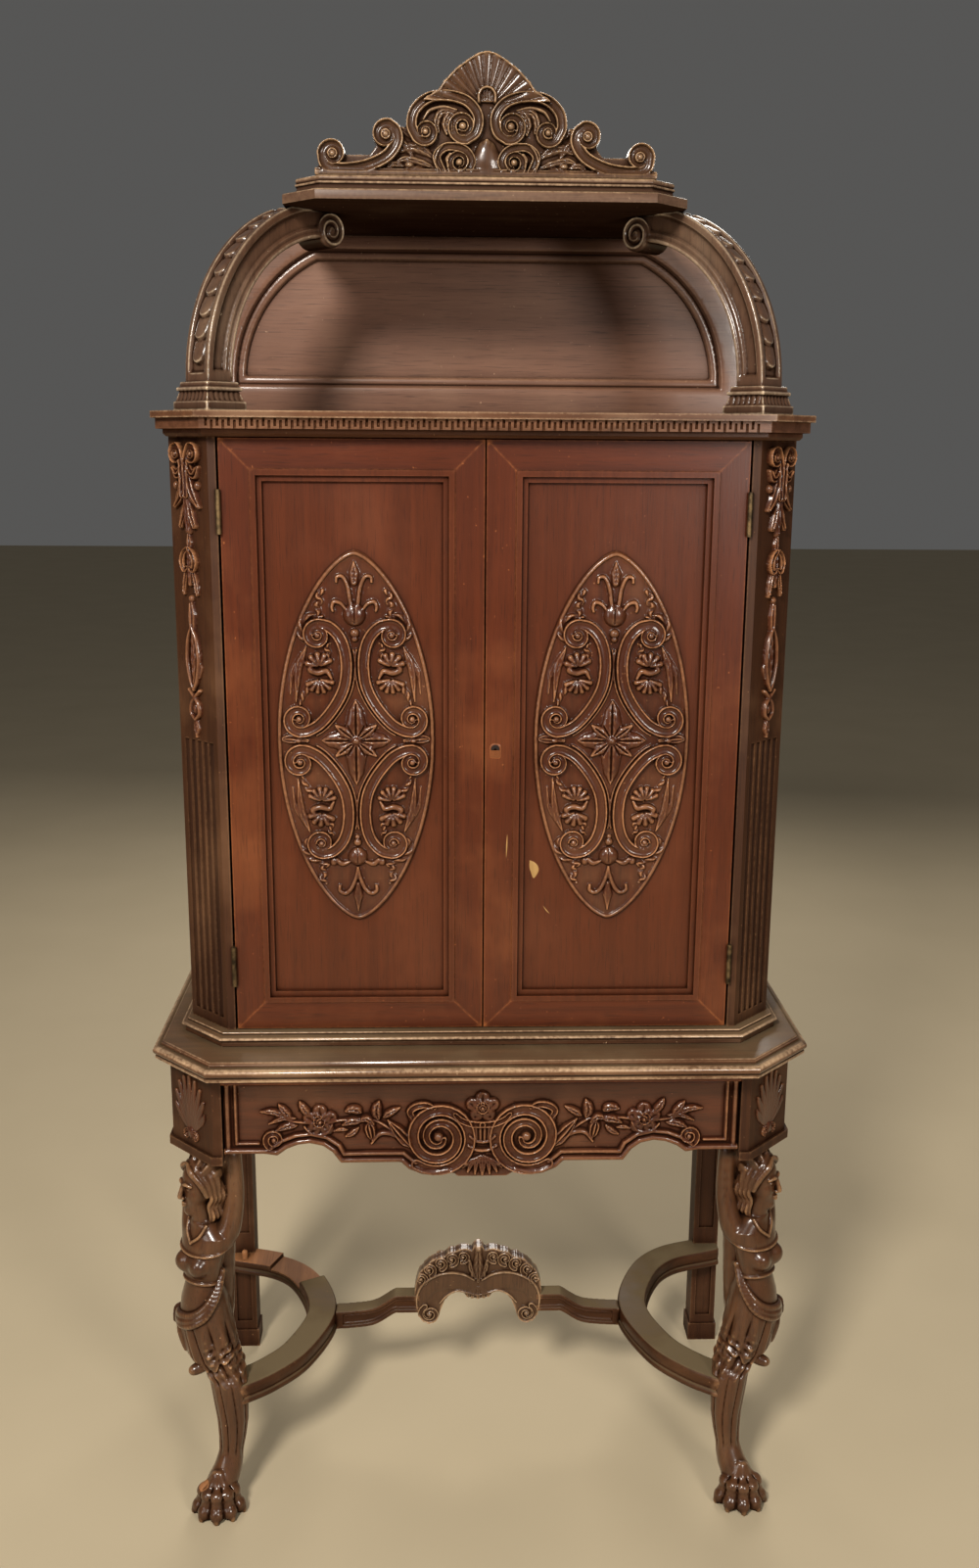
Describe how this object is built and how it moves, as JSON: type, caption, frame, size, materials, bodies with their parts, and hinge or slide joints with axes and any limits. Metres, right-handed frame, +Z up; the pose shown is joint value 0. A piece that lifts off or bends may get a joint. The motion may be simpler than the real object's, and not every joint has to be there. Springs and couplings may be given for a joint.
{
  "type": "china cabinet",
  "caption": "China cabinet on a figured stand: carved doors over a shaped drawer, an open arched hood with a crest above, and curved stretchers below.",
  "frame": {"origin": "centre of the footprint on the floor", "axes": "+Z up, -Y towards the front, +X to the right as seen from the front"},
  "size_m": [0.88, 0.452, 1.9],
  "materials": {
    "carved_wood": "aged stain",
    "frame_wood": "aged stain",
    "panel_wood": "aged stain",
    "moulded_wood": "aged stain",
    "inner_wood": "raw",
    "brass": "tarnished"
  },
  "bodies": {
    "carcass": {"arch_frame": "moulded_wood", "back_apron": "frame_wood", "back_panel": "inner_wood", "base_top": "moulded_wood", "bracket_left": "carved_wood", "bracket_right": "carved_wood", "canopy_board": "moulded_wood", "canopy_cap": "moulded_wood", "case_base": "moulded_wood", "case_hinge_leaves": "brass", "corner_block_left": "frame_wood", "corner_block_right": "frame_wood", "corner_drop_left": "carved_wood", "corner_drop_right": "carved_wood", "corner_post_left": "frame_wood", "corner_post_right": "frame_wood", "cornice_slab": "moulded_wood", "crest": "carved_wood", "cross_arm_left": "frame_wood", "cross_arm_right": "frame_wood", "drawer_rail": "frame_wood", "drawer_runners": "inner_wood", "frieze": "moulded_wood", "front_leg_left": "carved_wood", "front_leg_right": "carved_wood", "hood_back": "panel_wood", "rear_leg_left": "frame_wood", "rear_leg_right": "frame_wood", "shelf_cleats": "inner_wood", "shelves": "inner_wood", "side_apron_left": "frame_wood", "side_apron_right": "frame_wood", "side_panel_left": "frame_wood", "side_panel_right": "frame_wood", "side_stretcher_left": "frame_wood", "side_stretcher_right": "frame_wood", "stretcher_arch": "carved_wood"},
    "left_door": {"door_left_hinge_stile": "frame_wood", "door_left_meeting_stile": "frame_wood", "door_left_top_rail": "frame_wood", "door_left_bottom_rail": "frame_wood", "door_left_panel": "panel_wood", "door_left_moulding": "moulded_wood", "door_left_medallion": "carved_wood", "door_left_hinge_leaves": "brass"},
    "right_door": {"door_right_hinge_stile": "frame_wood", "door_right_meeting_stile": "frame_wood", "door_right_top_rail": "frame_wood", "door_right_bottom_rail": "frame_wood", "door_right_panel": "panel_wood", "door_right_moulding": "moulded_wood", "door_right_medallion": "carved_wood", "door_right_hinge_leaves": "brass", "lock_case": "brass"},
    "drawer": {"drawer_front": "carved_wood", "drawer_side_left": "inner_wood", "drawer_side_right": "inner_wood", "drawer_back": "inner_wood", "drawer_bottom": "inner_wood"},
    "lock_bolt": {"lock_bolt": "brass"}
  },
  "joints": [
    {"name": "left_door_hinge", "type": "hinge", "parent": "carcass", "child": "left_door", "pos_m": [-0.3265, -0.1354, 1.073], "axis": [0, 0, -1], "range_deg": [0, 105]},
    {"name": "right_door_hinge", "type": "hinge", "parent": "carcass", "child": "right_door", "pos_m": [0.3265, -0.1354, 1.073], "axis": [0, 0, 1], "range_deg": [0, 105]},
    {"name": "drawer_slide", "type": "slide", "parent": "carcass", "child": "drawer", "axis": [0, -1, 0], "range_m": [0, 0.2]},
    {"name": "lock_bolt_slide", "type": "slide", "parent": "right_door", "child": "lock_bolt", "axis": [-1, 0, 0], "range_m": [0, 0.008]}
  ]
}
